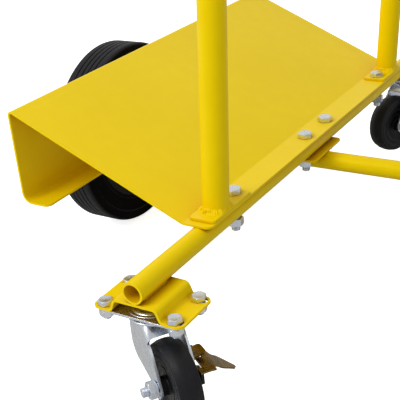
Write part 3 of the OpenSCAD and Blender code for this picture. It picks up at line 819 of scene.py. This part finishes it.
def fork_sheet(caster):
    """The pressed fork as one bent sheet: leg, crown with a hood over the wheel, leg."""
    bend = 6.0
    mid_y = caster.fork_out - CASTER_SHEET / 2
    crown_z = caster.crown - CASTER_SHEET / 2
    front_r, hood_from, hood_to, hood_drop = 30.0, 21.0, 34.0, 11.5
    turn_x, turn_z, turn_r, turn_end = 2.0, -46.0, 22.0, math.radians(250)
    axle_x, axle_z, boss = caster.offset, -caster.drop, caster.boss
    swept = (turn_x + turn_r * math.cos(turn_end), turn_z + turn_r * math.sin(turn_end))
    touch_up, touch_out, clear, back_top = 0.3, 0.954, 0.15, crown_z - 7.5
    low = axle_z - boss + clear

    def front(z):
        """The leg's front edge: down from the crown, round a sweep, then slanting to the boss."""
        if z > turn_z:
            return turn_x - turn_r
        if z > swept[1]:
            return turn_x - math.sqrt(turn_r ** 2 - (z - turn_z) ** 2)
        if z > axle_z:
            return swept[0] + (axle_x - boss - swept[0]) * (z - swept[1]) / (axle_z - swept[1])
        return axle_x - math.sqrt(boss ** 2 - (z - axle_z) ** 2)

    def back(z):
        """The leg's back edge: a slant down from the hood that touches the boss."""
        touch_z = axle_z + boss * touch_up
        touch_x = axle_x + boss * touch_out
        if z > touch_z:
            return touch_x + (hood_to - touch_x) * (z - touch_z) / (back_top - touch_z)
        return axle_x + math.sqrt(boss ** 2 - (z - axle_z) ** 2)

    def hood(x):
        """How far the crown has curled down over the wheel."""
        t = max(0.0, (x - hood_from) / (hood_to - hood_from))
        return hood_drop * t ** 1.6

    def crown_row(y, z):
        """A row of the crown, from the round front edge back to the hood's rim."""
        a = -math.sqrt(front_r ** 2 - y * y)
        places = [a + (hood_to - a) * m / columns for m in range(columns + 1)]
        return [(x, y, z - hood(x)) for x in places]

    columns, leg_rows, bend_rows, crown_rows = 26, 64, 6, 14
    rows = []
    leg_top = crown_z - bend
    for k in range(leg_rows):
        t = k / leg_rows
        z = low + (leg_top - low) * t ** 1.25
        a, b = front(z), back(z)
        row = []
        for m in range(columns + 1):
            x = a + (b - a) * m / columns
            row.append((x, -mid_y, z - hood(min(x, hood_to)) * t ** 6))
        rows.append(row)
    for k in range(bend_rows + 1):
        angle = math.pi / 2 * k / bend_rows
        y = bend * (1 - math.cos(angle)) - mid_y
        rows.append(crown_row(y, leg_top + bend * math.sin(angle)))
    for k in range(1, crown_rows // 2 + 1):
        rows.append(crown_row((bend - mid_y) * (1 - 2 * k / crown_rows), crown_z))
    rows += [[(x, -y, z) for x, y, z in row] for row in reversed(rows[:-1])]
    return Form().add(rows, open_ring=True)


def race_ring(caster):
    """Pressed ring round the crown that the balls run on."""
    z = caster.crown
    bore = 8
    ring = [(bore, z + 0.4), (19, z + 0.4)] + fillet(23, z + 0.6, 2.6, 200, 340, 8)
    ring += [(27.6, z + 0.2)] + fillet(27.8, z - 1.6, 1.9, 80, -80)
    ring += [(26, z - 3.4), (bore, z - 3.2)]
    return lathe(ring, RACE_STEPS)


def plate_form(caster):
    """Mounting plate with round corners, stamped rings on it and the bearing cup under it."""
    low, high = (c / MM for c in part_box(caster.name + "_plate"))
    length, width, corner, bore, ring_r = high.x - low.x, high.y - low.y, 8.0, 6.3, 30
    outline = []
    for cx, cy, start in ((1, 1, 0), (-1, 1, 90), (-1, -1, 180), (1, -1, 270)):
        for k in range(9):
            a = math.radians(start + 90 * k / 8)
            px = cx * (length / 2 - corner) + corner * math.cos(a)
            py = cy * (width / 2 - corner) + corner * math.sin(a)
            outline.append((px, py))
    form = Form().add([[(x, y, z) for x, y in outline] for z in (-CASTER_SHEET, 0)], caps=True)
    top = [(ring_r, -0.4), (29.4, 0.5), (27.6, 0.7), (26.6, 0.2), (25.4, 0.2), (24.4, 1.3)]
    top += [(22, 2.2), (20.4, 1.7), (18.6, 1.7), (17.4, 2.6), (14, 3.5), (12, 3.2), (10, 3.9)]
    top += [(bore, 4.0), (bore, -0.4)]
    form.join(lathe(top, RACE_STEPS))
    cup = [(bore, -2.5), (ring_r, -2.5), (29.4, -3.8)] + fillet(27.2, -5.0, 1.5, 40, -80)
    cup += [(26, -7), (20, -7), (bore, -7)]
    return form.join(lathe(cup, RACE_STEPS))


def roller_tyre(caster):
    """Tyre with a raised ring on its wall, a sloping shoulder and a slightly crowned tread."""
    name = caster.name
    outer = span(name + "_tyre", caster.centre, Z)[1]
    half = span(name + "_tyre", caster.centre, caster.across)[1]
    inner = span(name + "_core", caster.centre, Z)[1]
    shoulder = 8.5
    profile = [(inner, half - 2.2), (inner + 0.8, half - 0.9), (inner + 3, half - 0.5)]
    profile += [(inner + 5.2, half - 0.5), (inner + 5.8, half), (outer - 8.7, half)]
    profile += [(outer - 8.3, half - 0.45), (outer - 7.7, half - 0.5)]
    profile += fillet(outer - 4.8, half - 3.5, 3.0, 90, 32, 6)
    profile += [(outer - 0.7, half - shoulder + 0.6), (outer - 0.4, half - shoulder), (outer, 0.15)]
    return Form().join(lathe(mirrored(profile), 160), caster.axle_matrix(0))


def roller_core(caster):
    """Wheel centre with a recessed face, a raised ring on it and a hub that fills the fork."""
    name = caster.name
    outer = span(name + "_core", caster.centre, Z)[1]
    hub = span(name + "_core", caster.centre, caster.across)[1]
    half = span(name + "_tyre", caster.centre, caster.across)[1] - 0.8
    face = half - 2.6
    profile = [(6.1, hub), (10.3, hub), (11, hub - 0.7), (11.3, face + 2)]
    profile += fillet(13.3, face + 2, 2, 180, 270, 5)
    profile += [(19, face), (19.4, face + 0.6), (21.6, face + 0.6), (22, face), (27, face)]
    profile += fillet(27, face + 1.6, 1.6, 270, 340, 4)
    profile += [(29.4, half - 0.3), (30, half), (outer, half)]
    return Form().join(lathe(mirrored(profile), 120), caster.axle_matrix(0))


def axle_fasteners(caster):
    """The bolt the wheel turns on, its head on one side of the fork and its nut on the other."""
    low = span(caster.name + "_axle_bolt", caster.centre, caster.across)[0]
    out, threaded, nut_turn = caster.fork_out, 22, 11
    bolt_form = Form().join(bolt(M12, out - low, threaded), caster.axle_matrix(out))
    turn = Matrix.Rotation(math.radians(nut_turn), 4, "Z")
    nut_form = Form().join(nut(M12), caster.axle_matrix(-out) @ turn)
    caster.piece("axle_bolt_threaded", bolt_form, "swivel", ZINC, "axle_bolt", edge=FASTENER_EDGE)
    caster.piece("axle_nut_turned", nut_form, "swivel", ZINC, "axle_nut", edge=FASTENER_EDGE)


def tab_height(s):
    """Height of the long tab at a distance out from its pin: domed up to a hump, then sagging."""
    hump, rise, reach, dome, sag = 15, 2.4, 6.5, 0.011, 0.0012
    if s < hump:
        return rise - dome * (s - hump) ** 2
    return rise * math.exp(-((s - hump) / reach) ** 2) - sag * (s - hump) ** 2


def pedal_tab(pedal_t):
    """The long tab: a shoulder beside the knuckle, one side cut at a slant and a rounded tip."""
    inner, root, cut, shoulder, side_end, tip, tip_r = -3.0, 6.0, 11.0, 19.0, 29.0, 41.0, 5.0
    ear_side, root_left, left, right, tip_x = 13.0, -8.0, 4.0, 34.0, 23.0
    gap = 0.05
    # The straight sides meet the round tip about 60 and 20 degrees round it
    slant_end = (tip_x - tip_r / 2, tip + tip_r * 0.87)
    right_end = (tip_x + tip_r * 0.94, tip + tip_r * 0.34)

    def sides(s):
        rounding = math.sqrt(max(0.0, tip_r ** 2 - (s - tip) ** 2))
        if s < root:
            return ear_side, right
        if s < side_end:
            a = left + (root_left - left) * min(1, max(0.0, (shoulder - s) / (shoulder - cut)))
        elif s < slant_end[1]:
            a = left + (slant_end[0] - left) * (s - side_end) / (slant_end[1] - side_end)
        else:
            a = tip_x - rounding
        if s < right_end[1]:
            b = right + (right_end[0] - right) * (s - root) / (right_end[1] - root)
        else:
            b = tip_x + rounding
        return a, b

    columns, count, shoulder_rows = 14, 44, 8
    places = [inner + (root - gap - inner) * k / shoulder_rows for k in range(shoulder_rows + 1)]
    reach = tip + tip_r - gap - root
    places += [root + reach * (1 - (1 - k / count) ** 1.4) for k in range(count + 1)]
    rows = []
    for s in places:
        a, b = sides(s)
        rows.append([(a + (b - a) * m / columns, s, tab_height(s)) for m in range(columns + 1)])
    return thickened(rows, pedal_t)


def pedal_release(pedal_t):
    """The short tab above: it rises off the knuckle and dips at its lip."""
    start, end, left, right, corner = -4.0, 11.0, -2.0, 18.0, 4.0
    height, lip, lip_dip = 5.9, 6.0, 0.9
    columns, count = 10, 18
    rows = []
    for k in range(count + 1):
        s = start + (end - start) * k / count
        cut = corner - math.sqrt(max(0.0, corner ** 2 - max(0.0, s - end + corner) ** 2))
        a, b = left + cut, right - cut
        dip = lip_dip * (max(0.0, s - end + lip) / lip) ** 2
        rows.append([(a + (b - a) * m / columns, s, height - dip) for m in range(columns + 1)])
    return thickened(rows, pedal_t)


def pedal_arm(pedal_t):
    """Strip that reaches in from the long tab over the rubber block."""
    run = [(10.5, -1.6), (4, -0.8), (-4, -0.7), (-8.4, -0.7)]
    rows = [[(x, y - 0.2, z) for x in (32.2, 35.4, 38.6, 41.8)] for y, z in run]
    return thickened(rows, pedal_t)


def brake_pedal(caster):
    """Sheet pedal curled round its pin, with a tab that sets the brake and one that frees it."""
    pin = caster.place.inverted() @ joint_origin("near_brake_press")
    sheet, half, bore, outer = 2.2, 9.0, 2.6, 4.9
    place = Matrix.Translation(pin)
    tilt = Matrix.Rotation(math.radians(-26), 4, "X")
    rise = Matrix.Rotation(math.radians(8), 4, "X")
    tube = [(bore, -half), (outer, -half), (outer, half), (bore, half)]
    form = Form().join(lathe(tube, 40), place @ axes_to(Vector((0, 0, 0)), Z, X))
    form.join(pedal_tab(sheet), place @ tilt)
    neck = [[(x, s, tab_height(s)) for x in (-8, -3, 3, 8)] for s in (3, 4, 5, 6, 7)]
    form.join(thickened(neck, sheet), place @ tilt)
    form.join(pedal_release(sheet), place @ rise)
    form.join(pedal_arm(sheet), place)
    caster.piece("pedal_pressed", form, "brake", PEDAL_ZINC, "pedal", edge=0.4, angle=40)


def caster_pieces(name):
    """Every piece that both casters have."""
    caster = Caster(name)
    fork = caster.piece("fork_pressed", fork_sheet(caster), "swivel", ZINC, "fork", edge=0)
    solid = fork.modifiers.new("sheet", "SOLIDIFY")
    solid.thickness = CASTER_SHEET * MM
    solid.offset = 0
    soften(fork, 0.6, 3, 40)
    caster.piece("race_ring", race_ring(caster), "swivel", ZINC, edge=0)
    placed = Form().join(plate_form(caster), axes_to(caster.top, X, Z))
    piece(name + "_plate_stamped", placed, "frame", ZINC, name + "_plate", edge=0.4)
    caster.piece("tyre_moulded", roller_tyre(caster), "roller", ROLLER, "tyre", edge=0)
    caster.piece("core_moulded", roller_core(caster), "roller", PLASTIC, "core", edge=0.4)
    axle_fasteners(caster)
    return caster


near = caster_pieces("near")
caster_pieces("far")
brake_pedal(near)
refined("near_brake_pad", "near_brake", ROLLER, 0.6)


# ---------------------------------------------------------------- studio

def floor():
    """A square floor, its half side in metres."""
    mesh = bpy.data.meshes.new("studio_floor")
    reach = 14
    corners = [(-reach, -reach, 0), (reach, -reach, 0), (reach, reach, 0), (-reach, reach, 0)]
    mesh.from_pydata(corners, [], [(0, 1, 2, 3)])
    mesh.materials.append(pale_floor())
    obj = bpy.data.objects.new("studio_floor", mesh)
    bpy.context.scene.collection.objects.link(obj)


def area_light(name, place, target, size, watts, tint):
    """A round light at a place, facing a target, with its places and size in metres."""
    data = bpy.data.lights.new(name, "AREA")
    data.shape = "DISK"
    data.size = size
    data.energy = watts
    data.color = tint
    obj = bpy.data.objects.new(name, data)
    obj.location = place
    aim = Vector(target) - Vector(place)
    obj.rotation_euler = aim.to_track_quat("-Z", "Y").to_euler()
    bpy.context.scene.collection.objects.link(obj)


def soft_sky(left, right):
    """A white sky, with one strength on the deck's side and another on the side away from it."""
    world = bpy.data.worlds.new("soft_sky")
    world.use_nodes = True
    background = world.node_tree.nodes["Background"]
    background.inputs["Color"].default_value = (1, 1, 1, 1)
    n = Nodes(world.node_tree)
    split = n.add("ShaderNodeSeparateXYZ", Vector=n.generated)
    n.set(background, "Strength", n.ramp(split.outputs["X"], -0.5, 0.9, left, right))
    bpy.context.scene.world = world


def camera(place, yaw, pitch, roll, lens):
    """A camera at a place in millimetres, turned right, then down, then rolled, in degrees."""
    yaw, pitch, roll = (math.radians(a) for a in (yaw, pitch, roll))
    flat = math.cos(pitch)
    forward = Vector((math.sin(yaw) * flat, math.cos(yaw) * flat, -math.sin(pitch)))
    level = Vector((math.cos(yaw), -math.sin(yaw), 0))
    down = forward.cross(level)
    right = level * math.cos(roll) + down * math.sin(roll)
    up = level * math.sin(roll) - down * math.cos(roll)
    data = bpy.data.cameras.new("view")
    data.sensor_width = 36
    data.lens = lens
    data.clip_end = 100
    obj = bpy.data.objects.new("view", data)
    rows = [(right[k], up[k], -forward[k], place[k] * MM) for k in range(3)]
    obj.matrix_world = Matrix(rows + [(0, 0, 0, 1)])
    bpy.context.scene.collection.objects.link(obj)
    bpy.context.scene.camera = obj


# The point the lights face, in metres
MIDDLE = (0, 0, 0.2)

floor()
soft_sky(left=0.84, right=0.5)
area_light("key", (-1.2, -2.5, 2.8), MIDDLE, size=1.8, watts=58, tint=(1, 1, 1))
area_light("fill", (2.6, -0.6, 1.6), MIDDLE, size=1.6, watts=3, tint=(0.95, 0.97, 1))
camera((530.3, -1121.3, 678.0), yaw=-33.62, pitch=25.24, roll=5.41, lens=80.19)
bpy.context.scene.view_settings.view_transform = "Standard"
